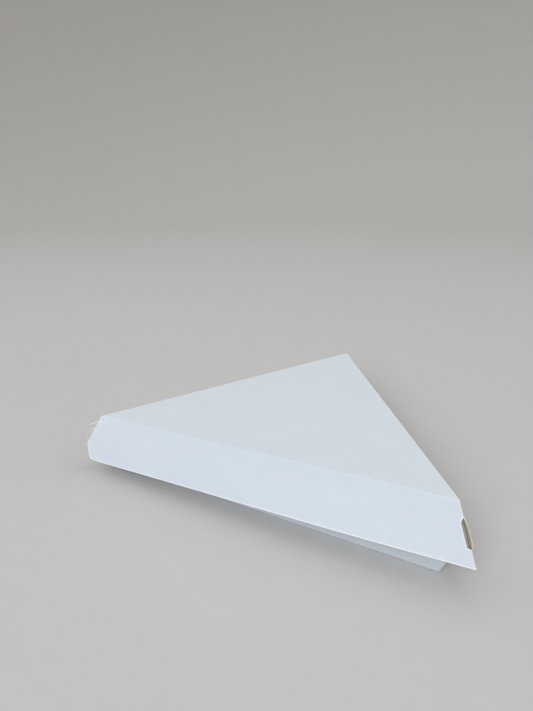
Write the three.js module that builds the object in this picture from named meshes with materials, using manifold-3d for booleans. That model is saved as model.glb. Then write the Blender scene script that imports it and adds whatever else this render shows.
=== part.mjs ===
// Triangular paperboard clamshell for one pizza slice, folded from a single glued sheet.
// Millimetres, +Z up, crust side towards -X, point of the slice towards +X.
// The origin is the centroid of the tray's flat underside, which is where the box stands.

import * as THREE from 'three';
import { ConvexGeometry } from 'three/addons/geometries/ConvexGeometry.js';
import { mergeVertices } from 'three/addons/utils/BufferGeometryUtils.js';
import Module from 'manifold-3d';

// Board
const boardThickness = 0.5;
const foldRadius = 0.3; // inside radius of a pressed fold
const foldSteps = 4; // facets round a fold

// Tray: a triangular floor with walls that lean outwards as they rise
const trayLength = 202; // floor, crust edge to point
const trayWidth = 216; // floor, along the crust edge
const trayDepth = 18.5; // underside of the floor to the hinge crease
const trayBackRun = 8.1; // how far the crust wall leans out over that depth
const traySideLean = 0.2; // outward run of the side walls for each millimetre of rise
const tongueHeight = 5.5; // rise of the rim at the point, behind the lid's lock
const tongueLength = 14; // full-height stretch of that rise, back from the point
const tongueSlope = 14; // run of the sweep that leads up to it

// Lid: the same triangle turned over, wide enough to pass outside the tray
const crustSleeve = 7; // at each end of the crust edge, how much wider the top panel is than the floor
const tipSleeve = 6.5; // how far the top panel reaches past the floor at the point
const lidDepth = 21.5; // top panel to the hinge crease
const lidBackRun = 9.1; // how far the crust wall leans out over that depth
const lidWidth = trayWidth + 2 * crustSleeve; // top panel, along the crust edge
const lidLength = trayLength + tipSleeve + trayBackRun - lidBackRun; // top panel, crust edge to point
const lidSideLean = 0.2;
const skirtDepth = 11.2; // how far the lid's side walls hang below the hinge crease
const skirtCornerRadius = 4.5; // rounded free corner of a side wall, below the hinge
const skirtEdgeRun = 2; // forward run of the free edge from the hinge to that corner

// Hinge crease
const ajarAngle = THREE.MathUtils.degToRad(2.5); // the crease springs the closed lid up this far
const creaseGap = 0.3; // free width left between the two halves, so that the crease can turn

// Lock at the point of the lid: a slot in one wall, whose cut-out stands on as a nose
const lockTop = 7.1; // below the top panel, along the fold at the point
const lockBottom = 24.7;
const lockReach = 2.8; // depth of the slot and reach of the nose, each from the rounded fold
const lockChamfer = 2;
const lockTurn = THREE.MathUtils.degToRad(20); // how far the nose springs round from its wall

// Glue flaps that hold the corners, inside the walls
const flapLength = 18;
const flapInset = 1.5; // kept clear of the folds and rims on either side
const flapTaper = 3; // narrowing at the free end
const glueBite = 0.1; // glued faces are merged by this much

const wasm = await Module();
wasm.setup();

const farAway = 400; // longer than any cut has to reach

// Booleans

function toSolid(geometry) {
  const bare = geometry.index ? geometry.toNonIndexed() : geometry.clone();
  bare.deleteAttribute('normal');
  bare.deleteAttribute('uv');
  const merged = mergeVertices(bare, 1e-5);
  return new wasm.Manifold(new wasm.Mesh({
    numProp: 3,
    vertProperties: new Float32Array(merged.attributes.position.array),
    triVerts: new Uint32Array(merged.index.array),
  }));
}

function toGeometry(solid) {
  const mesh = solid.getMesh();
  const geometry = new THREE.BufferGeometry();
  geometry.setAttribute('position', new THREE.BufferAttribute(mesh.vertProperties, 3));
  geometry.setIndex(new THREE.BufferAttribute(mesh.triVerts, 1));
  geometry.computeVertexNormals();
  return geometry;
}

// Planes of the folded walls

// A wall rises from the line through point along the outward direction, leaning out by lean
// for each millimetre of height. A lid's wall leans in as it rises, so its lean is negative.
function wallPlane(point, outward, lean) {
  const normal = new THREE.Vector3(outward.x, outward.y, -lean).normalize();
  return new THREE.Plane().setFromNormalAndCoplanarPoint(normal, point);
}

function meetingPoint(a, b, c) {
  const bc = new THREE.Vector3().crossVectors(b.normal, c.normal);
  const ca = new THREE.Vector3().crossVectors(c.normal, a.normal);
  const ab = new THREE.Vector3().crossVectors(a.normal, b.normal);
  return bc.multiplyScalar(-a.constant)
    .addScaledVector(ca, -b.constant)
    .addScaledVector(ab, -c.constant)
    .divideScalar(a.normal.dot(new THREE.Vector3().crossVectors(b.normal, c.normal)));
}

function movedIn(plane, distance) {
  return new THREE.Plane(plane.normal.clone(), plane.constant + distance);
}

// Directions that sweep round a fold, from the normal of one face to that of the next
function foldArc(a, b) {
  const start = new THREE.Quaternion();
  const turn = new THREE.Quaternion().setFromUnitVectors(a.normal, b.normal);
  return Array.from({ length: foldSteps + 1 }, (_, i) =>
    a.normal.clone().applyQuaternion(start.clone().slerp(turn, i / foldSteps)));
}

// The four outer faces of one half: cap (floor or top panel), crust wall and two side walls
function halfFaces({ length, width, crustX, capZ, capUp, backLean, sideLean }) {
  const crustEnd = (side) => new THREE.Vector3(crustX, side * width / 2, capZ);
  const outward = new THREE.Vector2(width / 2, length).normalize();
  const sideFace = (side) =>
    wallPlane(crustEnd(side), new THREE.Vector2(outward.x, side * outward.y), sideLean);
  return {
    cap: wallPlane(crustEnd(1), new THREE.Vector2(), -capUp),
    back: wallPlane(crustEnd(1), new THREE.Vector2(-1, 0), backLean),
    left: sideFace(1),
    right: sideFace(-1),
  };
}

// The space within the four faces, open ended at mouthZ. Round folds have the given radius
// about centre lines that lie foldRadius inside the inner face of the board.
function roundedHull(faces, radius, mouthZ) {
  const depth = foldRadius + boardThickness;
  const core = Object.fromEntries(
    Object.entries(faces).map(([name, plane]) => [name, movedIn(plane, depth)]));
  const mouth = wallPlane(new THREE.Vector3(0, 0, mouthZ), new THREE.Vector2(), -1);
  const points = [];
  const addCorner = (centre, arcs) => arcs.flat().forEach((direction) =>
    points.push(centre.clone().addScaledVector(direction, radius)));
  for (const [first, second] of [['back', 'left'], ['back', 'right'], ['left', 'right']]) {
    const a = core[first];
    const b = core[second];
    const capCorner = meetingPoint(core.cap, a, b);
    addCorner(capCorner, [foldArc(core.cap, a), foldArc(core.cap, b), foldArc(a, b)]);
    addCorner(meetingPoint(mouth, a, b), [foldArc(a, b)]);
  }
  return toSolid(new ConvexGeometry(points));
}

function foldedShell(faces, mouthZ) {
  const beyond = mouthZ + Math.sign(mouthZ - meetingPoint(faces.cap, faces.left, faces.right).z);
  return roundedHull(faces, foldRadius + boardThickness, mouthZ)
    .subtract(roundedHull(faces, foldRadius, beyond));
}

// A side view drawn in X and Z, run right across the box along Y
function sideViewCutter(shape) {
  const geometry = new THREE.ExtrudeGeometry(shape, { depth: farAway, bevelEnabled: false, curveSegments: 8 });
  geometry.rotateX(Math.PI / 2);
  geometry.translate(0, farAway / 2, 0);
  return toSolid(geometry);
}

// Details that lie in a wall

// A frame on a wall's outer face: x runs along the wall away from the fold that it shares
// with the neighbour, y along that fold away from the cap, z outwards. Its origin is the
// sharp corner where wall, neighbour and cap would meet.
function wallFrame(wall, neighbour, cap) {
  const along = new THREE.Vector3().crossVectors(wall.normal, neighbour.normal).normalize();
  if (along.dot(cap.normal) > 0) along.negate();
  const away = new THREE.Vector3().crossVectors(along, wall.normal);
  if (away.dot(neighbour.normal) > 0) away.negate();
  const frame = new THREE.Matrix4().makeBasis(away, along, wall.normal);
  return frame.setPosition(meetingPoint(wall, neighbour, cap));
}

// A flat piece of board whose outline is drawn in a frame. Its outer face lies at the given
// depth below the frame's plane.
function boardPiece(shape, frame, depth, thickness) {
  const geometry = new THREE.ExtrudeGeometry(shape, { depth: thickness, bevelEnabled: false });
  geometry.translate(0, 0, -depth - thickness);
  geometry.applyMatrix4(frame);
  if (frame.determinant() < 0) {
    const position = geometry.attributes.position;
    const flipped = new THREE.BufferGeometry();
    const triangles = Array.from({ length: position.count / 3 }, (_, i) => [3 * i, 3 * i + 2, 3 * i + 1]);
    flipped.setAttribute('position', position.clone());
    flipped.setIndex(triangles.flat());
    return toSolid(flipped);
  }
  return toSolid(geometry);
}

// A glue flap folded in from the neighbour and stuck to the inside of the wall
function glueFlap(wall, neighbour, cap, near, far) {
  const outline = new THREE.Shape([
    new THREE.Vector2(flapInset, near),
    new THREE.Vector2(flapLength, near + flapTaper),
    new THREE.Vector2(flapLength, far - flapTaper),
    new THREE.Vector2(flapInset, far),
  ]);
  return boardPiece(outline, wallFrame(wall, neighbour, cap), boardThickness - glueBite,
    boardThickness + glueBite);
}

// Half a long hexagon against the fold, for both the slot and the nose that came out of it
function lockOutline(start, end) {
  const shoulder = end - lockReach;
  return new THREE.Shape([
    new THREE.Vector2(start, lockTop),
    new THREE.Vector2(shoulder, lockTop),
    new THREE.Vector2(end, lockTop + lockChamfer),
    new THREE.Vector2(end, lockBottom - lockChamfer),
    new THREE.Vector2(shoulder, lockBottom),
    new THREE.Vector2(start, lockBottom),
  ]);
}

// Tray

const crustX = -trayLength / 3; // the centroid of the floor is a third of the way along
const hinge = new THREE.Vector3(crustX - trayBackRun, 0, trayDepth);
const trayTipRun = traySideLean * trayDepth / Math.sin(Math.atan2(trayWidth / 2, trayLength));
const trayTip = crustX + trayLength + trayTipRun; // the point, at the height of the crease

function trayRimCutter() {
  const rim = trayDepth - creaseGap / 2;
  const rise = trayTip - tongueLength;
  const shape = new THREE.Shape();
  shape.moveTo(-farAway, rim);
  shape.lineTo(rise - tongueSlope, rim);
  const middle = rise - tongueSlope / 2;
  shape.bezierCurveTo(middle, rim, middle, rim + tongueHeight, rise, rim + tongueHeight);
  shape.lineTo(farAway, rim + tongueHeight);
  shape.lineTo(farAway, farAway);
  shape.lineTo(-farAway, farAway);
  return sideViewCutter(shape);
}

function makeTray() {
  const faces = halfFaces({
    length: trayLength,
    width: trayWidth,
    crustX,
    capZ: 0,
    capUp: -1,
    backLean: trayBackRun / trayDepth,
    sideLean: traySideLean,
  });
  let tray = foldedShell(faces, trayDepth + 2 * tongueHeight);
  tray = tray.subtract(trayRimCutter());
  const flapEnd = trayDepth - flapInset;
  for (const side of [faces.left, faces.right]) {
    tray = tray.add(glueFlap(side, faces.back, faces.cap, flapInset, flapEnd));
  }
  return tray.add(glueFlap(faces.left, faces.right, faces.cap, flapInset, flapEnd));
}

// Lid, in its closed place

function lidEdgeCutter() {
  const edge = hinge.z - skirtDepth;
  const crease = hinge.z + creaseGap / 2;
  const wallInside = hinge.x + boardThickness * Math.hypot(1, lidBackRun / lidDepth) + creaseGap / 2;
  const corner = wallInside + skirtEdgeRun;
  const shape = new THREE.Shape();
  shape.moveTo(-farAway, crease);
  shape.lineTo(wallInside, crease);
  shape.lineTo(corner, edge + skirtCornerRadius);
  shape.quadraticCurveTo(corner, edge, corner + skirtCornerRadius, edge);
  shape.lineTo(farAway, edge);
  shape.lineTo(farAway, -farAway);
  shape.lineTo(-farAway, -farAway);
  return sideViewCutter(shape);
}

// Distances along a wall from the sharp corner of the point to where its round fold starts,
// and to the crown of that fold
const tipHalfAngle = Math.atan2(lidWidth / 2, lidLength);
const foldStart = (foldRadius + boardThickness) / Math.tan(tipHalfAngle);
const foldCrown = (foldRadius + boardThickness) * (1 / Math.sin(tipHalfAngle) - 1) / Math.cos(tipHalfAngle);

// The slot is cut through one wall only, from the fold back
function lockSlot(faces) {
  const frame = wallFrame(faces.right, faces.left, faces.cap);
  const outline = lockOutline(-foldStart, foldCrown + lockReach);
  return boardPiece(outline, frame, -foldStart, foldStart + boardThickness + glueBite);
}

// The nose starts where the far wall ends and stands past the fold, sprung round by lockTurn
// towards the wall that it was cut from
function lockNose(faces) {
  const frame = wallFrame(faces.left, faces.right, faces.cap);
  frame.multiply(new THREE.Matrix4().makeTranslation(foldStart, 0, 0));
  frame.multiply(new THREE.Matrix4().makeRotationY(lockTurn));
  frame.multiply(new THREE.Matrix4().makeScale(-1, 1, 1));
  const outline = lockOutline(-2 * boardThickness, foldStart - foldCrown + lockReach);
  return boardPiece(outline, frame, glueBite, boardThickness);
}

function makeLid() {
  const faces = halfFaces({
    length: lidLength,
    width: lidWidth,
    crustX: hinge.x + lidBackRun,
    capZ: trayDepth + lidDepth,
    capUp: 1,
    backLean: -lidBackRun / lidDepth,
    sideLean: -lidSideLean,
  });
  let lid = foldedShell(faces, hinge.z - skirtDepth - 1);
  lid = lid.subtract(lidEdgeCutter());
  for (const side of [faces.left, faces.right]) {
    lid = lid.add(glueFlap(side, faces.back, faces.cap, flapInset, lidDepth - flapInset));
  }
  const tipEnd = lidDepth + skirtDepth - flapInset;
  lid = lid.add(glueFlap(faces.left, faces.right, faces.cap, flapInset, tipEnd));
  return lid.subtract(lockSlot(faces)).add(lockNose(faces));
}

// Assembly

const whiteBoard = () => new THREE.MeshStandardMaterial({ color: 0xe4e6e6, roughness: 0.62, metalness: 0 });

const clamshell = new THREE.Group();
const tray = new THREE.Mesh(toGeometry(makeTray()), whiteBoard());
tray.name = 'tray';
clamshell.add(tray);

const lidHinge = new THREE.Group();
lidHinge.position.copy(hinge);
lidHinge.rotation.y = -ajarAngle;
const lid = new THREE.Mesh(toGeometry(makeLid()).translate(-hinge.x, -hinge.y, -hinge.z), whiteBoard());
lid.name = 'lid';
lidHinge.add(lid);
clamshell.add(lidHinge);

export default clamshell;
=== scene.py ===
# White paperboard pizza slice clamshell: folded tray and lid, lock nose, hinge crease, frayed corner
import math

import bpy
import numpy as np
from mathutils import Matrix, Vector


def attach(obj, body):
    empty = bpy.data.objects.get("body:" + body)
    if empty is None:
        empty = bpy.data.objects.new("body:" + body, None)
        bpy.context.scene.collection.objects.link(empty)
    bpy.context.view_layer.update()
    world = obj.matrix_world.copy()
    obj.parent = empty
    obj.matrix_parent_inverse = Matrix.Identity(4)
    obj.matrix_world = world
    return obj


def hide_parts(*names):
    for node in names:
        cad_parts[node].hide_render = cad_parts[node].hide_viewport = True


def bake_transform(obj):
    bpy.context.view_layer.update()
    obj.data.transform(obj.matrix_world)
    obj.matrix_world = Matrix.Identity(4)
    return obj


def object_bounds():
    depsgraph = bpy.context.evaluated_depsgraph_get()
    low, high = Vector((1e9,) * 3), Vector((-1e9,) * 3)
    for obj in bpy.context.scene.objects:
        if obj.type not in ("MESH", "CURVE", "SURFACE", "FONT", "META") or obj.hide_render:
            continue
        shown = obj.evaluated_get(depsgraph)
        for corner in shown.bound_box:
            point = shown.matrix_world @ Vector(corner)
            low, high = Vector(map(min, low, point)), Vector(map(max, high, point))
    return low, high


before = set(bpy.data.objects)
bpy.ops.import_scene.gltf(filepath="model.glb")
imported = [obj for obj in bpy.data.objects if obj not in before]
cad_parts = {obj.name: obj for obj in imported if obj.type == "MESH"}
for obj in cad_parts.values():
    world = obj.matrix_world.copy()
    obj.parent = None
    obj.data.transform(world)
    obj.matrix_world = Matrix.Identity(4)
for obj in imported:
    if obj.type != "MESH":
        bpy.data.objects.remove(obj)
cadLow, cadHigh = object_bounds()

mm = 0.001

# the sheet of board that everything is folded from
board = {
    "thickness": 0.5,
    "foldRadius": 0.8,      # outside of a fold
    "foldSteps": 6,
    "flapLength": 18.0,
    "flapStart": -0.2,      # the flap springs from the neighbour's inner face
    "flapInset": 1.5,
    "flapTaper": 3.0,
    "sharpFrom": 35,        # degrees between faces that shade as an edge
    "slot": "white_board",
}


# arrays
def unit(v):
    # each vector divided by its own length
    v = np.asarray(v, float)
    return v / np.linalg.norm(v, axis=-1, keepdims=True)


def meeting(planes):
    # the point that lies on three planes, each a normal n and an offset c with n.p = c
    n = np.array([p[0] for p in planes])
    return np.linalg.solve(n, np.array([p[1] for p in planes]))


def sweep(a, b, t):
    # great arc from direction a to direction b: sin((1-t)w) a + sin(t w) b over sin(w)
    t = np.asarray(t)[..., None]
    w = np.arccos(np.clip(np.sum(a * b, axis=-1, keepdims=True), -1, 1))
    return (np.sin((1 - t) * w) * a + np.sin(t * w) * b) / np.sin(w)


def easedSteps(count):
    # 0 to 1 with the steps small at both ends: t minus a share of sin(2 pi t)
    t = np.linspace(0, 1, count)
    return t - 0.97 * np.sin(2 * math.pi * t) / (2 * math.pi)


def smoothStep(t, start=0.0, end=1.0):
    # 3 t squared - 2 t cubed, with t from 0 at the start to 1 at the end
    t = np.clip((t - start) / (end - start), 0, 1)
    return t * t * (3 - 2 * t)


def gentleWaves(p, seed, lengths):
    # sum of three plane waves per length, in directions and phases drawn from the seed
    dice = np.random.default_rng(seed)
    total = np.zeros(p.shape[:-1])
    for length in lengths:
        for _ in range(3):
            way = unit(dice.normal(size=3))
            total += np.sin(2 * math.pi * (p @ way) / length + dice.uniform(0, 6.28))
    return total / (3 * len(lengths))


# one folded half
def foldedHalf(shape, backX, capZ, up):
    # four planes (cap, near, far, back) moved in by the fold radius give the core corners;
    # every point of the sheet is a core point plus the radius times a normal
    half = math.atan2(shape["width"] / 2, shape["length"])
    radius = board["foldRadius"]
    backLean = shape["backRun"] / shape["depth"]
    corner = np.array([backX, shape["width"] / 2, capZ])
    normals = {
        "cap": np.array([0.0, 0.0, up]),
        "near": unit([math.sin(half), -math.cos(half), up * shape["sideLean"]]),
        "far": unit([math.sin(half), math.cos(half), up * shape["sideLean"]]),
        "back": unit([-1.0, 0.0, up * backLean]),
    }
    sharp = {name: (n, n @ (corner * [1, -1, 1] if name == "near" else corner))
             for name, n in normals.items()}
    core = {name: (n, c - radius) for name, (n, c) in sharp.items()}
    lowered = (normals["cap"], core["cap"][1] - 1.0)
    lines = {}
    for name, (a, b) in {"A": ("near", "back"), "T": ("near", "far"), "B": ("far", "back")}.items():
        top = meeting([core["cap"], core[a], core[b]])
        edge = meeting([sharp["cap"], sharp[a], sharp[b]])
        lines[name] = {
            "top": top,
            "fall": meeting([lowered, core[a], core[b]]) - top,
            "sharpTop": edge,
        }
    walls = {"near": ("A", "T"), "far": ("T", "B"), "back": ("B", "A")}
    return {"shape": shape, "up": up, "normals": normals, "lines": lines, "walls": walls,
            "radius": radius, "half": half}


def wallWidth(sheet, wall):
    # length of the wall's fold between its two corners
    p, q = (sheet["lines"][k]["top"] for k in sheet["walls"][wall])
    return np.linalg.norm(q - p)


def wallBow(sheet, place, drop):
    # sine of pi times the squared place, so fullest nearer the point, growing with the drop to
    # the power 1.6, and nothing at the folds; the place runs from 0 at the crust to 1 at the point
    full = sheet["shape"].get("skirt", sheet["shape"].get("rim")) - 1
    rise = np.clip((drop - 1) / full, 0, 1) ** 1.6
    return sheet["shape"]["wallBow"] * np.sin(math.pi * place * np.abs(place)) * rise


def onWall(sheet, wall, f, drop, depth):
    # point at fraction f between the two corner folds, at a drop below the cap, and at a
    # depth under the outer face
    p, q = (sheet["lines"][k] for k in sheet["walls"][wall])
    n = sheet["normals"][wall]
    f, drop = np.broadcast_arrays(np.asarray(f, float), np.asarray(drop, float))
    v = drop - sheet["radius"] * (1 - abs(n[2]))
    top = p["top"] + f[..., None] * (q["top"] - p["top"])
    fall = p["fall"] + f[..., None] * (q["fall"] - p["fall"])
    swell = wallBow(sheet, 1 - f if wall == "far" else f, drop)
    out = sheet["radius"] - depth + swell
    return top + fall * v[..., None] + out[..., None] * n


def columnsOf(sheet, counts, extra):
    # once round the half: near wall, point fold, far wall, corner fold, crust wall, corner fold
    columns = []
    order = [("near", "far", "T"), ("far", "back", "B"), ("back", "near", "A")]
    for wall, following, foldName in order:
        f = np.union1d(easedSteps(counts[wall]), extra.get(wall, []))
        n = sheet["normals"]
        columns += [(wall, value, n[wall], None) for value in f]
        turns = np.linspace(0, 1, board["foldSteps"] + 1)[1:-1]
        columns += [(wall, 1.0, sweep(n[wall], n[following], t), foldName) for t in turns]
    return columns


def columnArrays(sheet, columns):
    # for each column its core point at the fold, its fall for 1 mm of drop, its outward normal and
    # its place along the wall; the first two go in a straight line from corner to corner
    walls = sheet["walls"]
    top, fall, normal, f = [], [], [], []
    for wall, value, n, _ in columns:
        p, q = (sheet["lines"][k] for k in walls[wall])
        top.append(p["top"] + value * (q["top"] - p["top"]))
        fall.append(p["fall"] + value * (q["fall"] - p["fall"]))
        normal.append(n)
        f.append(value if wall != "back" else 0.0)
    return np.array(top), np.array(fall), np.array(normal), np.array(f)


def capPatch(sheet, top, normal, relief):
    # rings that shrink from the fold to the middle, then round the fold by great arcs
    cap = sheet["normals"]["cap"]
    rings = np.unique(np.append(0.0, 2 * easedSteps(69)[34:] - 1))
    centre = top.mean(axis=0)
    base = centre + rings[:, None, None] * (top - centre)
    lift = relief(base, rings[:, None] * np.ones(len(top)))
    flat = base + (sheet["radius"] + lift)[..., None] * cap
    flatIn = flat - board["thickness"] * cap
    turns = np.linspace(0, 1, board["foldSteps"] + 1)[1:]
    ways = sweep(cap, normal, turns[:, None] * np.ones(len(top)))
    bend = top + sheet["radius"] * ways
    bendIn = top + (sheet["radius"] - board["thickness"]) * ways
    return np.concatenate([flat, bend]), np.concatenate([flatIn, bendIn])


def wallPatch(sheet, top, fall, normal, f, drops):
    # straight fall from the fold along each column, swelled by the wall's bow
    v = drops - sheet["radius"] * (1 - np.abs(normal[:, 2]))
    v = np.maximum(v, 0)
    core = top + fall * v[..., None]
    out = sheet["radius"] + wallBow(sheet, np.where(normal[:, 1] > 0.001, 1 - f, f), drops)
    outer = core + out[..., None] * normal
    return outer, outer - board["thickness"] * normal


# meshes
def newPiece(name, points, faces):
    # a smooth-shaded mesh from points in metres, linked to the scene
    mesh = bpy.data.meshes.new(name)
    mesh.from_pydata(points.reshape(-1, 3).tolist(), [], faces)
    mesh.polygons.foreach_set("use_smooth", np.ones(len(faces), bool))
    mesh.update()
    piece = bpy.data.objects.new(name, mesh)
    bpy.context.scene.collection.objects.link(piece)
    return piece


def gridFaces(rows, columns, keep=None):
    # the quads of a grid of points, all or those to keep
    i, j = np.meshgrid(np.arange(rows - 1), np.arange(columns - 1), indexing="ij")
    a = i * columns + j
    quads = np.stack([a, a + columns, a + columns + 1, a + 1], axis=-1)
    return quads.reshape(-1, 4) if keep is None else quads[keep].reshape(-1, 4)


def sheetMesh(name, patches, flaps, folds, place, wornCorner=()):
    # outer and inner faces of each patch, merged where they meet, and closed along every
    # free edge by the thickness of the board; a flap's edges don't count as the sheet's
    outer, inner, tris, count = [], [], [], 0
    for a, b, keep in patches + flaps:
        quads = gridFaces(*a.shape[:2], keep)
        o, n = a.reshape(-1, 3), b.reshape(-1, 3)
        t = np.concatenate([quads[:, [0, 1, 2]], quads[:, [0, 2, 3]]])
        facing = np.cross(o[t[:, 1]] - o[t[:, 0]], o[t[:, 2]] - o[t[:, 0]])
        if np.sum(facing * (o - n)[t[:, 0]]) < 0:
            t = t[:, ::-1]
        outer.append(o)
        inner.append(n)
        tris.append(t + count)
        count += len(o)
    sizes = [len(o) for o in outer]
    flapNumber = np.repeat([0] * len(patches) + list(range(1, len(flaps) + 1)), sizes)
    outer, inner, tris = map(np.concatenate, (outer, inner, tris))
    _, first, same = np.unique(np.round(outer * 2000), axis=0, return_index=True, return_inverse=True)
    same = same.ravel()
    outer, inner, flapNumber, tris = outer[first], inner[first], flapNumber[first], same[tris]
    tris = tris[(tris[:, 0] != tris[:, 1]) & (tris[:, 1] != tris[:, 2]) & (tris[:, 2] != tris[:, 0])]
    used, compact = np.unique(tris, return_inverse=True)
    outer, inner, flapNumber, tris = outer[used], inner[used], flapNumber[used], compact.reshape(-1, 3)
    edges = np.concatenate([tris[:, [0, 1]], tris[:, [1, 2]], tris[:, [2, 0]]])
    _, which, times = np.unique(np.sort(edges, axis=1), axis=0, return_inverse=True, return_counts=True)
    rim = edges[times[which.ravel()] == 1]
    total = len(outer)
    wall = np.concatenate([np.stack([rim[:, 1], rim[:, 0], rim[:, 0] + total], axis=1),
                           np.stack([rim[:, 1], rim[:, 0] + total, rim[:, 1] + total], axis=1)])
    faces = np.concatenate([tris, tris[:, ::-1] + total, wall])
    points = np.concatenate([outer, inner])
    piece = newPiece(name, place(points) * mm, faces.tolist())
    mesh = piece.data
    material = np.repeat([0, 1, 2], [len(tris), len(tris), len(wall)]).astype(np.int32)
    mesh.polygons.foreach_set("material_index", material)
    mesh.set_sharp_from_angle(angle=math.radians(board["sharpFrom"]))
    storeValues(mesh, "foldDistance", np.tile(distanceToLines(outer, folds), 2))
    storeValues(mesh, "wearDistance", np.tile(distanceToLines(outer, folds[1:]), 2))
    storeValues(mesh, "cornerDistance", np.tile(distanceToLines(outer, wornCorner), 2))
    onRim = np.isin(np.arange(total), rim)
    edgeDistance = np.zeros(total)
    for number in range(len(flaps) + 1):
        own = flapNumber == number
        edgeDistance[own] = distanceToPoints(outer[own], outer[own & onRim])
    storeValues(mesh, "edgeDistance", np.tile(edgeDistance, 2))
    return piece


def storeValues(mesh, name, values):
    # one number for each point, read by the materials
    attribute = mesh.attributes.new(name, "FLOAT", "POINT")
    attribute.data.foreach_set("value", np.asarray(values, np.float32))


def distanceToLines(points, lines):
    # least distance from each point to any of the straight stretches
    best = np.full(len(points), 1e3)
    for a, b in lines:
        t = np.clip((points - a) @ (b - a) / ((b - a) @ (b - a)), 0, 1)
        best = np.minimum(best, np.linalg.norm(points - a - t[:, None] * (b - a), axis=1))
    return best


def distanceToPoints(points, targets):
    # least distance from each point to any target, 200 targets at a time
    best = np.full(len(points), 1e3)
    for start in range(0, len(targets), 200):
        gap = np.linalg.norm(points[:, None] - targets[None, start:start + 200], axis=2)
        best = np.minimum(best, gap.min(axis=1))
    return best


def foldLines(sheet, low):
    # three folds round the cap, near one first, then three down the corners to a drop
    corners = [sheet["lines"][k] for k in "ATB"]
    tops = [c["sharpTop"] for c in corners]
    rims = [c["sharpTop"] + c["fall"] * low for c in corners]
    return list(zip(tops, tops[1:] + tops[:1])) + list(zip(tops, rims))


def glueFlap(sheet, wall, fromEnd, dropRange, start=board["flapStart"]):
    # a strip of the neighbour folded in and stuck to the wall: straight sides, tapered end
    width = wallWidth(sheet, wall)
    t = np.linspace(0, 1, 12)[None, :]
    h = np.linspace(0, 1, 14)[:, None]
    reach = start + t * (board["flapLength"] - start)
    f = reach / width if fromEnd == "start" else 1 - reach / width
    low = dropRange[0] + board["flapTaper"] * t
    high = dropRange[1] - board["flapTaper"] * t
    drop = low + h * (high - low)
    f = f + 0 * drop
    glued = onWall(sheet, wall, f, drop, board["thickness"] + 0.01)
    free = onWall(sheet, wall, f, drop, 2 * board["thickness"] + 0.01)
    return glued, free, None


# tray: triangular floor, walls leaning out as they rise
trayShape = {
    "length": 202.0,
    "width": 216.0,
    "depth": 18.5,
    "backRun": 8.1,
    "sideLean": 0.2,
    "rim": 18.35,
    "tongueRise": 5.5,
    "tongueLength": 14.0,
    "tongueSweep": 14.0,
    "wallBow": 0.35,        # the long walls belly out at the rim
    "floorLift": 0.12,
    "columns": {"near": 70, "far": 70, "back": 50},
    "rows": 26,
}

crustX = -trayShape["length"] / 3
hinge = np.array([crustX - trayShape["backRun"], 0.0, trayShape["depth"]])


def makeTray():
    # floor, walls and tongue in one patch pair, and the three glued flaps
    sheet = foldedHalf(trayShape, crustX, 0.0, -1.0)
    arrays = columnArrays(sheet, columnsOf(sheet, trayShape["columns"], {}))
    top, fall, normal, f = (np.concatenate([a, a[:1]]) for a in arrays)

    def relief(base, ring):
        # the floor stays flat at its folds and lifts a little between them, never below them
        return -trayShape["floorLift"] * (1 - ring ** 6) * (1 + gentleWaves(base, 4, (90, 150)))

    cap = capPatch(sheet, top, normal, relief)
    # the rim sweeps up to the tongue over the last stretch before the point
    rimX = (top + fall * trayShape["rim"])[:, 0]
    tongueStart = rimX.max() - trayShape["tongueLength"]
    rise = smoothStep(rimX, tongueStart - trayShape["tongueSweep"], tongueStart)
    rim = trayShape["rim"] + trayShape["tongueRise"] * rise
    share = easedSteps(trayShape["rows"])[:, None]
    start = sheet["radius"] * (1 - np.abs(normal[:, 2]))
    wall = wallPatch(sheet, top, fall, normal, f, start + share * (rim - start))
    low = board["flapInset"]
    high = trayShape["depth"] - board["flapInset"]
    flaps = [glueFlap(sheet, "near", "start", (low, high)),
             glueFlap(sheet, "far", "end", (low, high)),
             glueFlap(sheet, "far", "start", (low, high))]
    patches = [(*cap, None), (*wall, None)]
    return sheetMesh("trayBoard", patches, flaps, foldLines(sheet, trayShape["rim"]), lambda p: p)


# lid: the same triangle turned over, sleeved over the tray
lidShape = {
    "length": 207.5,
    "width": 230.0,
    "depth": 21.5,
    "backRun": 9.1,
    "sideLean": 0.2,
    "crease": 21.35,
    "skirt": 32.7,          # drop of the side walls below the top
    "freeEdge": 8.8,        # forward slant of the free rear edge, against the corner fold's line
    "cornerRadius": 2.2,
    "cornerRise": 0.8,      # and a slow rise of the lower edge towards that corner,
    "cornerReach": 16.0,    # over this length
    "wallBow": 1.3,
    "ajar": 2.5,            # degrees
    "sag": 0.25,
    "waves": 0.16,
    "dent": 0.16,
    "dentPlace": (12.0, 8.0),
    "dentWidth": 3.5,
    "columns": {"near": 92, "far": 92, "back": 60},
}

# lock at the point: slot in the near wall, its cut-out standing on as a nose
lockShape = {
    "top": 8.1,
    "bottom": 23.3,
    "reach": 1.95,
    "topChamfer": 2.3,
    "bottomChamfer": 0.45,
    "fadeBeyond": 3.0,      # grid lines bent by the chamfer straighten over this width
    "fadeAlong": 4.0,       # and this far above and below the slot
    "noseSteps": 12,
    "springEnds": 9.0,      # degrees the nose springs round towards the slot, at its two ends
    "springMiddle": -12.0,  # and away from it between them
    "flapBack": 2.5,        # the glue flap at the point starts clear of the slot
}


def openLid(points):
    # turn about the hinge line by the ajar angle, point upwards
    angle = math.radians(lidShape["ajar"])
    x = points[..., 0] - hinge[0]
    z = points[..., 2] - hinge[2]
    return np.stack([hinge[0] + math.cos(angle) * x - math.sin(angle) * z, points[..., 1],
                     hinge[2] + math.sin(angle) * x + math.cos(angle) * z], axis=-1)


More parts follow.
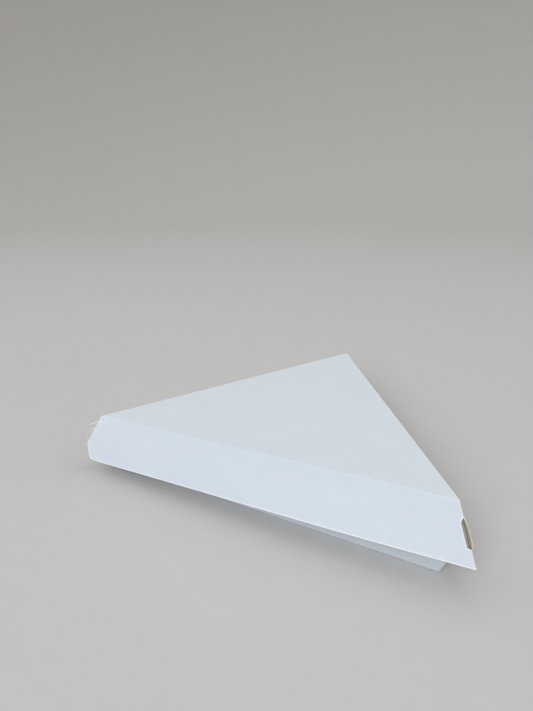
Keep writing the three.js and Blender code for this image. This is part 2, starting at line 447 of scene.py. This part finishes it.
def lidHalf():
    return foldedHalf(lidShape, hinge[0] + lidShape["backRun"], trayShape["depth"] + lidShape["depth"], 1.0)


def crownReach(sheet):
    # half the arc round the point fold
    return sheet["radius"] * (math.pi - 2 * sheet["half"]) / 2


def slotDistance(sheet, columns):
    # how far each column stands from the crown of the point fold, along the near wall;
    # columns past the crown count as less than nothing
    width = wallWidth(sheet, "near")
    crown = crownReach(sheet)
    turn = np.cumsum([name == "T" for *_, name in columns]) / board["foldSteps"]
    u = []
    for (wall, value, _, name), t in zip(columns, turn):
        if wall == "near" and name is None:
            u.append(crown + (1 - value) * width)
        else:
            u.append(crown * (1 - 2 * t) if name == "T" else -1)
    return np.array(u)


def chamferRows(drops, u):
    # rows near the slot's ends lean with its chamfers: the shift grows with the distance
    # from the fold up to the slot's depth, then fades
    lock = lockShape
    across = np.where(u <= lock["reach"], u / lock["reach"],
                      1 - (u - lock["reach"]) / lock["fadeBeyond"])
    across = np.clip(across, 0, 1)
    fade = lock["fadeAlong"]
    along = np.interp(drops, [lock["top"] - fade, lock["top"], lock["bottom"], lock["bottom"] + fade],
                      [0, lock["topChamfer"], -lock["bottomChamfer"], 0])
    return drops + across * along


def lidRows():
    # wall rows above the crease and below it, with rows at the slot's ends and chamfers
    lock = lockShape
    crease, skirt = lidShape["crease"], lidShape["skirt"]
    marks = np.array([lock["top"], lock["top"] + lock["topChamfer"],
                      lock["bottom"] - lock["bottomChamfer"], lock["bottom"]])
    above = np.union1d([0.9, 1.3, 1.9, 2.7, 3.8, 5.2, 6.8, 12.2, 14.0, 16.0, 17.8, 19.4, crease],
                       marks[marks <= crease])
    below = np.union1d([crease, 22.2, 24.8, 26.2, 27.8, 29.4, 30.7, 31.7, 32.3, skirt],
                       marks[marks > crease])
    return above, below


def lidNose(sheet, rows):
    # the slot's cut-out, still in line with the far wall: it leaves the wall's end straight
    # and turns by an angle that grows with the distance to the power 0.7
    lock = lockShape
    n = sheet["normals"]["far"]
    start = onWall(sheet, "far", 0.0, rows, 0.0)
    line = unit(start[-1] - start[0])
    ahead = unit(np.cross(n, line))
    ahead = ahead if ahead[0] > 0 else -ahead
    crown = crownReach(sheet)
    share = (rows - lock["top"]) / (lock["bottom"] - lock["top"])
    tilt = np.radians(lock["springEnds"] + (lock["springMiddle"] - lock["springEnds"])
                      * np.sin(math.pi * np.clip(share, 0, 1) ** 1.3))
    inset = np.minimum((rows - lock["top"]) / lock["topChamfer"],
                       (lock["bottom"] - rows) / lock["bottomChamfer"])
    length = crown + lock["reach"] * np.clip(inset, 0, 1)
    q = np.linspace(0, 1, lock["noseSteps"])[None, :]
    turned = tilt[:, None] * q ** 0.7
    step = length[:, None] / (lock["noseSteps"] - 1)
    forward = np.cumsum(np.cos(turned), axis=1) - 1
    aside = np.cumsum(np.sin(turned), axis=1)
    outer = start[:, None] + (step * forward)[..., None] * ahead - (step * aside)[..., None] * n
    normal = np.cos(turned)[..., None] * n + np.sin(turned)[..., None] * ahead
    return outer, outer - board["thickness"] * normal, None


def makeLid():
    # top, walls down to the crease, side walls below it, the nose, and the three glued flaps
    sheet = lidHalf()
    width = wallWidth(sheet, "near")
    crown = crownReach(sheet)
    slotEdge = 1 - (lockShape["reach"] - crown) / width
    columns = columnsOf(sheet, lidShape["columns"], {"near": [slotEdge]})
    top, fall, normal, f = columnArrays(sheet, columns)
    u = slotDistance(sheet, columns)

    def relief(base, ring):
        # a faint sag and waves, and one shallow dent
        away = np.sum((base[..., :2] - lidShape["dentPlace"]) ** 2, axis=-1)
        dent = np.exp(-away / 2 / lidShape["dentWidth"] ** 2)
        waves = (1 - ring ** 8) * gentleWaves(base, 11, (70, 120, 190))
        return -lidShape["sag"] * (1 - ring ** 2) + lidShape["waves"] * waves - lidShape["dent"] * dent

    close = np.append(np.arange(len(top)), 0)
    cap = capPatch(sheet, top[close], normal[close], relief)
    above, below = lidRows()
    rowsAbove = np.concatenate([[0.0], above])[:, None] + 0 * u
    rowsAbove[0] = sheet["radius"] * (1 - np.abs(normal[:, 2]))
    rowsAbove = chamferRows(rowsAbove, u)
    body = wallPatch(sheet, top[close], fall[close], normal[close], f[close], rowsAbove[:, close])

    # side walls below the crease: one strip from free edge to free edge, round the point
    sides = {("near", None): 1.0, ("far", None): -1.0}
    side = np.array([sides.get((wall, name), 0.0) for wall, _, _, name in columns])
    last = int(np.flatnonzero(side < 0)[-1]) + 1
    side = side[:last]
    reach = lidShape["skirt"] - lidShape["crease"]
    part = (below[:, None] - lidShape["crease"]) / reach
    fromEnd = np.where(side > 0, f[:last], 1 - f[:last])
    distance = np.where(side == 0, width, fromEnd * (width - lidShape["freeEdge"]))
    r = lidShape["cornerRadius"]
    missing = (r - np.sqrt(r * r - np.clip(r - distance, 0, r) ** 2)
               + lidShape["cornerRise"] * np.clip(1 - distance / lidShape["cornerReach"], 0, 1) ** 2)
    shift = lidShape["freeEdge"] * part * (1 - missing / reach) * (1 - fromEnd)
    drops = chamferRows(lidShape["crease"] + part * (reach - missing), u[:last])
    outer, inner = wallPatch(sheet, top[:last], fall[:last], normal[:last], f[:last], drops)
    tops = {name: line["top"] for name, line in sheet["lines"].items()}
    ways = {1.0: unit(tops["T"] - tops["A"]), -1.0: unit(tops["T"] - tops["B"]), 0.0: np.zeros(3)}
    along = np.array([ways[value] for value in side])
    move = shift[..., None] * along
    skirt = outer + move, inner + move

    # the slot leaves out the faces between its edge and the far side of the point fold
    lowEdge = int(np.argmin(np.abs(f - slotEdge) + 10 * (u < 0)))
    farSide = int(np.flatnonzero(side < 0)[0])
    keepBody = np.ones((len(rowsAbove) - 1, len(close) - 1), bool)
    keepBody[list(above).index(lockShape["top"]) + 1:, lowEdge:farSide] = False
    keepSkirt = np.ones((len(below) - 1, last - 1), bool)
    keepSkirt[:list(below).index(lockShape["bottom"]), lowEdge:farSide] = False
    rows = np.union1d(above[above >= lockShape["top"]], below[below <= lockShape["bottom"]])
    low = board["flapInset"]
    high = lidShape["depth"] - board["flapInset"]
    flaps = [glueFlap(sheet, "near", "start", (low, high)),
             glueFlap(sheet, "far", "end", (low, high)),
             glueFlap(sheet, "far", "start", (low, lidShape["skirt"] - board["flapInset"]),
                      lockShape["flapBack"])]
    patches = [(*cap, None), (*body, keepBody), (*skirt, keepSkirt), lidNose(sheet, rows)]
    folds = foldLines(sheet, lidShape["skirt"])
    return sheetMesh("lidBoard", patches, flaps, folds, openLid, wornCorner=[folds[3]])


# hinge crease: a scored strip of the same board that bends between the two halves
creaseShape = {
    "halfLength": 115.0,
    "rings": 60,
    "leg": 1.3,
    "legSteps": (1.0, 0.7, 0.45, 0.25, 0.12, 0.04),
    "proud": 0.03,
    "sharpFrom": 50,
    "bend": 0.3,            # half of the height over which it passes from tray to lid
    "distances": {"foldDistance": 0.1, "wearDistance": 0.1, "cornerDistance": 99.0, "edgeDistance": 9.0},
}


def makeCrease():
    # a closed V section carried along the hinge: down the tray's wall and up the lid's
    shape = creaseShape
    angle = math.radians(lidShape["ajar"])
    down = unit([trayShape["backRun"], 0.0, -trayShape["depth"]])
    run, rise = lidShape["backRun"], lidShape["depth"]
    up = unit([run * math.cos(angle) - rise * math.sin(angle), 0.0,
               run * math.sin(angle) + rise * math.cos(angle)])
    steps = shape["leg"] * np.array(shape["legSteps"])
    deep = board["thickness"] + shape["proud"]
    mitre = deep * math.tan((math.pi - math.acos(down @ up)) / 2)
    legs = [(down, steps, unit(np.array([down[2], 0, -down[0]]))),
            (up, steps[::-1], unit(np.array([-up[2], 0, up[0]])))]
    outside = np.concatenate([s[:, None] * way + shape["proud"] * out for way, s, out in legs])
    inside = np.concatenate([(mitre + s[:, None] * (1 - mitre / shape["leg"])) * way - deep * out
                             for way, s, out in legs])
    section = np.concatenate([outside, inside[::-1]])
    y = np.linspace(-shape["halfLength"], shape["halfLength"], shape["rings"])
    points = hinge + section[None] + y[:, None, None] * np.array([0, 1, 0])
    points[..., 0] = np.maximum(points[..., 0], cadLow[0] / mm + 0.01)
    n = len(section)
    i, j = np.meshgrid(np.arange(len(y) - 1), np.arange(n), indexing="ij")
    quads = np.stack([i * n + j, i * n + (j + 1) % n, (i + 1) * n + (j + 1) % n, (i + 1) * n + j],
                     axis=-1)
    faces = quads.reshape(-1, 4).tolist()
    half = n // 2
    k = np.arange(half - 1)
    for row, flip in ((0, 1), (len(y) - 1, -1)):
        ends = np.stack([k, n - 1 - k, n - 2 - k, k + 1], axis=-1) + row * n
        faces += ends[:, ::flip].tolist()
    piece = newPiece("hingeCrease", points * mm, faces)
    for name, value in shape["distances"].items():
        storeValues(piece.data, name, np.full(len(y) * n, value))
    inwards = np.tile(np.arange(n) >= half, len(y))
    facesInside = np.array([all(inwards[v] for v in face) for face in faces])
    piece.data.polygons.foreach_set("material_index", facesInside.astype(np.int32))
    piece.data.update()
    piece.data.set_sharp_from_angle(angle=math.radians(shape["sharpFrom"]))
    return piece


# worn corner: fibres pulled out of the near rear fold
fibreShape = {
    "sides": 5,
    "rings": 16,
    "seed": 23,
    "longStrand": {"drop": 3.8, "length": 8.4, "radius": 0.38, "way": (-0.61, -0.73, -0.36),
                   "bulge": (0.05, -0.05, 0.16)},
    "peeled": 5,            # strands still held at both ends
    "peelFrom": (8.0, 9.6),
    "peelTo": (16.4, 18.4),
    "peelBulge": (1.0, 2.5),
    "knot": 9,              # short ends about one place
    "knotDrop": 15.0,
    "knotOut": 2.1,
    "knotLength": (0.7, 1.6),
    "thin": (0.12, 0.21),
}


def makeFibres():
    # each strand: root + reach t + bulge 4 t (1 - t), inside tapered round rings
    shape = fibreShape
    dice = np.random.default_rng(shape["seed"])
    sheet = lidHalf()
    line = sheet["lines"]["A"]
    corner = unit(sheet["normals"]["near"] + sheet["normals"]["back"])
    along = unit(line["fall"])
    long, peeled, knot = shape["longStrand"], shape["peeled"], shape["knot"]
    drops = np.concatenate([[long["drop"]], dice.uniform(*shape["peelFrom"], peeled),
                            shape["knotDrop"] + 0.5 * dice.normal(size=knot)])
    root = line["top"] + line["fall"] * drops[:, None] + (sheet["radius"] - 0.1) * corner
    root[1 + peeled:] += shape["knotOut"] * corner
    loose = unit(corner + dice.normal(size=(knot, 3))) * dice.uniform(*shape["knotLength"], knot)[:, None]
    span = np.linalg.norm(line["fall"]) * (dice.uniform(*shape["peelTo"], peeled) - drops[1:1 + peeled])
    reach = np.concatenate([long["length"] * unit([long["way"]]), span[:, None] * along, loose])
    bulge = np.zeros_like(root)
    bulge[0] = long["bulge"]
    bulge[1:1 + peeled] = (dice.uniform(*shape["peelBulge"], peeled)[:, None] * corner
                           + 0.35 * dice.normal(size=(peeled, 3)))
    radii = np.append(long["radius"], dice.uniform(*shape["thin"], peeled + knot))
    t = np.linspace(0, 1, shape["rings"])
    path = root[:, None] + reach[:, None] * t[:, None] + bulge[:, None] * (4 * t * (1 - t))[:, None]
    tangent = unit(np.gradient(path, axis=1))
    across = unit(np.cross(tangent, [0.3, 0.2, 0.93]))
    over = np.cross(tangent, across)
    turn = np.arange(shape["sides"]) * 2 * math.pi / shape["sides"]
    width = radii[:, None] * (1 - 0.8 * t ** 1.5)
    ring = np.cos(turn)[:, None] * across[:, :, None] + np.sin(turn)[:, None] * over[:, :, None]
    points = openLid(path[:, :, None] + width[..., None, None] * ring)
    points[..., 0] = np.maximum(points[..., 0], cadLow[0] / mm + 0.03)
    points[..., 1] = np.maximum(points[..., 1], cadLow[1] / mm + 0.03)
    strands, rings, sides = points.shape[:3]
    s, i, j = np.meshgrid(np.arange(strands), np.arange(rings - 1), np.arange(sides), indexing="ij")
    a = (s * rings + i) * sides + j
    b = (s * rings + i) * sides + (j + 1) % sides
    faces = np.stack([a, b, b + sides, a + sides], axis=-1).reshape(-1, 4).tolist()
    first = (np.arange(strands) * rings)[:, None] * sides + np.arange(sides)
    faces += first[:, ::-1].tolist() + (first + (rings - 1) * sides).tolist()
    return newPiece("frayedFibres", points * mm, faces)


# materials
class Wire:
    # one socket's value in a node tree; arithmetic on it adds Math nodes
    def __init__(self, tree, socket=None):
        self.tree = tree
        self.socket = socket

    def node(self, kind, settings=None, sockets=None, output=0):
        made = self.tree.nodes.new(kind)
        for key, value in (settings or {}).items():
            setattr(made, key, value)
        for key, value in (sockets or {}).items():
            if isinstance(value, Wire):
                self.tree.links.new(value.socket, made.inputs[key])
            else:
                made.inputs[key].default_value = value
        return None if output is None else Wire(self.tree, made.outputs[output])

    def math(self, operation, *values):
        return self.node("ShaderNodeMath", {"operation": operation}, dict(enumerate(values)))

    def __add__(self, other):
        return self.math("ADD", self, other)

    def __radd__(self, other):
        return self.math("ADD", other, self)

    def __rsub__(self, other):
        return self.math("SUBTRACT", other, self)

    def __mul__(self, other):
        return self.math("MULTIPLY", self, other)

    def fade(self, start, end, low=0.0, high=1.0):
        # smooth change from low to high as the value goes from start to end
        values = {"Value": self, "From Min": start, "From Max": end, "To Min": low, "To Max": high}
        return self.node("ShaderNodeMapRange", {"interpolation_type": "SMOOTHSTEP"}, values)

    def tint(self, one, other):
        # colour one where the value is 0, the other where it is 1
        a = {6: one if isinstance(one, Wire) else (*one, 1.0)}
        b = {7: other if isinstance(other, Wire) else (*other, 1.0)}
        return self.node("ShaderNodeMix", {"data_type": "RGBA"}, {0: self, **a, **b}, output=2)

    def noise(self, size, detail, stretch=(1, 1, 1)):
        # noise with blobs of about the given size in mm, centred on 0.5
        place = self.node("ShaderNodeTexCoord", output=3)
        place = self.node("ShaderNodeMapping", None, {"Vector": place, "Scale": stretch})
        values = {"Vector": place, "Scale": 1 / (size * mm), "Detail": detail}
        return self.node("ShaderNodeTexNoise", None, values)

    def stored(self, name):
        # a number kept on the mesh by storeValues
        return self.node("ShaderNodeAttribute", {"attribute_name": name}, output=2)


def newMaterial(name):
    # an empty node material and a starting point for its nodes
    material = bpy.data.materials.new(name)
    material.use_nodes = True
    tree = material.node_tree
    tree.nodes.clear()
    return material, Wire(tree)


def finishMaterial(start, sockets, bumps):
    # one shader with a chain of bumps, each a height from 0 to 1 and a depth in mm
    normal = None
    for height, depth in bumps:
        inputs = {"Height": height, "Distance": depth * mm, "Strength": 1.0}
        if normal:
            inputs["Normal"] = normal
        normal = start.node("ShaderNodeBump", None, inputs)
    shader = start.node("ShaderNodeBsdfPrincipled", None, {**sockets, "Normal": normal})
    start.node("ShaderNodeOutputMaterial", None, {"Surface": shader}, output=None)


coatedLook = {
    "colour": (0.705, 0.748, 0.775),
    "cloud": (0.680, 0.724, 0.752),
    # cream of the whitened, cracked coat at the folds, which also serves as a painted highlight on their
    # rounding
    "wearAndHighlight": (0.86, 0.84, 0.79),
    # lighter white, used both for the painted highlight along the cut edges and for the whitened crinkles
    # of the coat near the worn corner
    "rim": (0.88, 0.89, 0.89),
    # painted shade: a darker coat along the folds that softens the bright band round each fold
    "pressed": (0.640, 0.680, 0.705),
    "roughness": 0.54,
}


def coatedBoard():
    # clay-coated outside: faint clouds, fine fibre relief, whitened folds whose cream is partly a painted
    # highlight, painted shade along the folds with a scored line in the relief, and a painted highlight
    # along the cut edges
    material, start = newMaterial("coatedWhiteBoard")
    fold = start.stored("foldDistance")
    edge = start.stored("edgeDistance")
    clouds = start.noise(26, 3).fade(0.32, 0.70)
    mottle = start.noise(3.2, 4).fade(0.35, 0.72)
    speck = start.noise(1.1, 2)
    scuff = start.noise(6, 5, (1, 1, 2.4))
    # whitened, rougher coat in patches along all folds but the near one; its cream partly stands in as a
    # painted highlight on the folds' rounding
    wearAndHighlight = start.stored("wearDistance").fade(0.45, 1.3, 1.0, 0.0) * scuff.fade(0.30, 0.60, 0.45, 1.0)
    # painted highlight: a lighter band within about a millimetre of every cut edge, where the edge's curl
    # would catch light
    edgeHighlight = edge.fade(0.4, 1.1, 1.0, 0.0)
    nearCorner = start.stored("cornerDistance").fade(2, 11, 1.0, 0.0)
    crinkle = start.noise(1.7, 3, (1, 1, 0.5)).fade(0.50, 0.60) * nearCorner
    colour = (clouds * 0.6 + mottle * 0.4).tint(coatedLook["colour"], coatedLook["cloud"])
    # painted shade: the coat darkens within about a millimetre of every fold
    colour = fold.fade(0.3, 1.2, 0.8, 0.0).tint(colour, coatedLook["pressed"])
    # real wear and painted highlight: cream along the folds
    colour = wearAndHighlight.tint(colour, coatedLook["wearAndHighlight"])
    colour = (crinkle * 0.35).tint(colour, coatedLook["rim"])
    # painted highlight laid along the cut edges
    colour = (edgeHighlight * 0.85).tint(colour, coatedLook["rim"])
    roughness = coatedLook["roughness"] + mottle * 0.08 + wearAndHighlight * 0.2
    score = fold.fade(0.7, 1.15) * fold.fade(1.25, 1.9, 1.0, 0.0)
    fibres = start.noise(0.55, 3, (1, 1, 0.6))
    finishMaterial(start, {"Base Color": colour, "Roughness": roughness, "Specular IOR Level": 0.32},
                   [(start.noise(34, 2), 0.35), (start.noise(7, 3), 0.035), (1 - score, 0.03),
                    (fibres, 0.012), (speck, 0.012), (crinkle, 0.05)])
    return material


bareLook = {
    "colour": (0.60, 0.54, 0.43),
    "cloud": (0.56, 0.50, 0.39),
    "fleck": (0.47, 0.39, 0.28),
    # darker along the folds: painted shade in the inside corners
    "fold": (0.55, 0.49, 0.38),
    "roughness": 0.72,
}


def bareBoard():
    # uncoated inside: cream, matt, with visible fibres and painted shade along the folds
    material, start = newMaterial("uncoatedBoard")
    clouds = start.noise(18, 4).fade(0.3, 0.7)
    fibres = start.noise(0.7, 4, (1, 1, 0.35))
    fleck = start.noise(1.6, 2).fade(0.66, 0.74)
    fold = start.stored("foldDistance").fade(0.2, 1.6, 1.0, 0.0)
    colour = clouds.tint(bareLook["colour"], bareLook["cloud"])
    colour = (fleck * 0.3).tint(colour, bareLook["fleck"])
    # painted shade: the inside darkens near every fold, along the box's inside corners
    colour = (fold * 0.5).tint(colour, bareLook["fold"])
    roughness = bareLook["roughness"] + fibres * 0.2
    finishMaterial(start, {"Base Color": colour, "Roughness": roughness, "Specular IOR Level": 0.25},
                   [(start.noise(9, 3), 0.05), (fibres, 0.03)])
    return material


edgeLook = {"colour": (0.74, 0.715, 0.62), "cloud": (0.64, 0.60, 0.49), "ply": (0.56, 0.52, 0.41)}


def cutEdge():
    # die-cut edge: cream plies that show as fine lines along the edge
    material, start = newMaterial("cutBoardEdge")
    plies = start.noise(0.35, 3, (0.2, 0.2, 1))
    patches = start.noise(5, 3).fade(0.35, 0.65)
    colour = patches.tint(edgeLook["colour"], edgeLook["cloud"])
    colour = plies.fade(0.35, 0.65, 0.0, 0.4).tint(colour, edgeLook["ply"])
    finishMaterial(start, {"Base Color": colour, "Roughness": 0.9, "Specular IOR Level": 0.15},
                   [(plies, 0.04)])
    return material


fibreColours = ((0.93, 0.87, 0.77), (0.84, 0.76, 0.63))


def fibreLook():
    # loose paper fibre: cream in patches, fully matt
    material, start = newMaterial("looseFibre")
    patches = start.noise(1.5, 3).fade(0.35, 0.65)
    colour = patches.tint(*fibreColours)
    finishMaterial(start, {"Base Color": colour, "Roughness": 0.95, "Specular IOR Level": 0.1},
                   [(start.noise(0.2, 2), 0.03)])
    return material


# pieces
tray = makeTray()
print("tray folded:", len(tray.data.polygons), "faces")
lid = makeLid()
print("lid folded:", len(lid.data.polygons), "faces")
crease = makeCrease()
fibres = makeFibres()
print("crease and worn corner made")
boards = [coatedBoard(), bareBoard(), cutEdge()]
for piece in (tray, lid, crease):
    for material in boards:
        piece.data.materials.append(material)
fibres.data.materials.append(fibreLook())
print("materials made")

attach(tray, "tray")
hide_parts("tray")
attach(lid, "lid")
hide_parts("lid")
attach(fibres, "lid")
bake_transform(crease)

# stage, in metres: a pale floor that curves up all round
stageShape = {
    "flat": 1.6,
    "radius": 2.6,
    "steepest": 0.985,      # share of the radius that the curve uses
    "hollow": 0.0034,       # behind the hinge, where the lid's top panel lies when it is open
    "underTray": ((-0.068, -0.112), (-0.068, 0.112), (0.13, 0.0)),
    "underLid": ((-0.0835, -0.118), (-0.0835, 0.118), (-0.306, 0.0)),
    "hollowFade": 0.35,
    "drop": 0.00005,        # so that floor and box never lie in one plane
    "xStops": (-4.5, -0.75, -0.09, -0.06, 0.75, 4.5),
    "xCounts": (48, 45, 24, 16, 48),
    "yStops": (-4.5, -0.5, 0.5, 4.5),
    "yCounts": (50, 100, 50),
    "colour": (0.57, 0.555, 0.525),
    "bounce": (0.31, 0.265, 0.20),
}


def distanceToTriangle(x, y, corners):
    # to its nearest side outside it, and nothing inside it
    nearest, inside = np.full_like(x, np.inf), []
    for (ax, ay), (bx, by) in zip(corners, corners[1:] + corners[:1]):
        dx, dy = bx - ax, by - ay
        t = np.clip(((x - ax) * dx + (y - ay) * dy) / (dx * dx + dy * dy), 0, 1)
        nearest = np.minimum(nearest, np.hypot(x - ax - t * dx, y - ay - t * dy))
        inside.append((x - ax) * dy - (y - ay) * dx)
    inside = np.stack(inside)
    within = np.all(inside >= 0, axis=0) | np.all(inside <= 0, axis=0)
    return np.where(within, 0, nearest)


def floorHeight(x, y):
    # level near the middle, then a quarter circle up; the hollow is a smooth step of how much
    # nearer a point is to the open lid's place than to the tray's, fading with its distance
    shape = stageShape
    out = np.clip(np.hypot(x, y) - shape["flat"], 0, shape["steepest"] * shape["radius"])
    tray = distanceToTriangle(x, y, shape["underTray"])
    lid = distanceToTriangle(x, y, shape["underLid"])
    hollow = smoothStep(tray / (tray + lid + 1e-9)) * (1 - smoothStep(lid, 0, shape["hollowFade"]))
    curve = shape["radius"] - np.sqrt(shape["radius"] ** 2 - out ** 2)
    return curve - shape["hollow"] * hollow - shape["drop"]


def spacedLines(stops, counts):
    # evenly spaced lines between each two stops
    parts = [np.linspace(a, b, n + 1)[:-1] for a, b, n in zip(stops, stops[1:], counts)]
    return np.append(np.concatenate(parts), stops[-1])


def makeStage():
    # one grid of lines, close together round the hollow's near side
    shape = stageShape
    x, y = np.meshgrid(spacedLines(shape["xStops"], shape["xCounts"]),
                       spacedLines(shape["yStops"], shape["yCounts"]), indexing="ij")
    points = np.stack([x, y, floorHeight(x, y)], axis=-1)
    piece = newPiece("studioFloor", points, gridFaces(*x.shape).tolist())
    material, start = newMaterial("paleFloor")
    grain = start.noise(12, 3).fade(0.3, 0.7)
    # pale where it is seen, directly or in a reflection, and duller where it lights the box
    seen = start.node("ShaderNodeLightPath", output="Is Camera Ray")
    for ray in ("Is Glossy Ray", "Is Transmission Ray"):
        seen = seen.math("MAXIMUM", seen, start.node("ShaderNodeLightPath", output=ray))
    colour = (grain * 0.5).tint(shape["colour"], tuple(0.97 * c for c in shape["colour"]))
    colour = seen.tint(shape["bounce"], colour)
    finishMaterial(start, {"Base Color": colour, "Roughness": 0.85, "Specular IOR Level": 0.2},
                   [(start.noise(1.5, 3), 0.02)])
    piece.data.materials.append(material)


makeStage()

# lights: an even white surround, a soft window at the near right that is narrow enough to leave
# the backdrop beside it alone, and a weaker one from above
lights = {
    "surround": 0.72,
    "aim": (0.02, 0.0, 0.02),
    "window": {"place": (1.7, -2.7, 2.0), "size": 2.2, "power": 19.2, "colour": (0.85, 0.94, 1.09),
               "spread": 70.0},
    "ceiling": {"place": (-0.9, 0.8, 3.2), "size": 2.5, "power": 2.6, "colour": (1.0, 0.98, 0.95),
                "spread": 180.0},
}


def areaLight(name, place, size, power, colour, spread):
    # a square lamp in metres and watts that looks at the aim, with its spread in degrees
    data = bpy.data.lights.new(name, "AREA")
    data.shape = "SQUARE"
    data.size = size
    data.energy = power
    data.color = colour
    data.spread = math.radians(spread)
    light = bpy.data.objects.new(name, data)
    light.location = place
    light.rotation_euler = (Vector(lights["aim"]) - light.location).to_track_quat("-Z", "Y").to_euler()
    bpy.context.scene.collection.objects.link(light)


world = bpy.data.worlds.new("surround")
world.use_nodes = True
background = world.node_tree.nodes["Background"]
background.inputs["Color"].default_value = (1.0, 1.0, 1.0, 1.0)
background.inputs["Strength"].default_value = lights["surround"]
bpy.context.scene.world = world
for name in ("window", "ceiling"):
    areaLight(name, **lights[name])
bpy.context.scene.view_settings.view_transform = "Standard"

# camera: the photograph's own place in mm and degrees, from its fitted corners
view = {
    "place": (261.792, -199.123, 204.913),
    "turn": 55.804,
    "tilt": 69.553,
    "roll": 0.193,
    "focal": 513.55,        # in pixels of a frame this wide
    "frameWidth": 533,
    "sensor": 36.0,
}
cameraData = bpy.data.cameras.new("camera")
cameraData.sensor_fit = "HORIZONTAL"
cameraData.sensor_width = view["sensor"]
cameraData.lens = view["focal"] / view["frameWidth"] * view["sensor"]
camera = bpy.data.objects.new("camera", cameraData)
turned = Matrix.Translation(Vector(view["place"]) * mm)
for name, axis in (("turn", "Z"), ("tilt", "X"), ("roll", "Z")):
    turned = turned @ Matrix.Rotation(math.radians(view[name]), 4, axis)
camera.matrix_world = turned
bpy.context.scene.collection.objects.link(camera)
bpy.context.scene.camera = camera
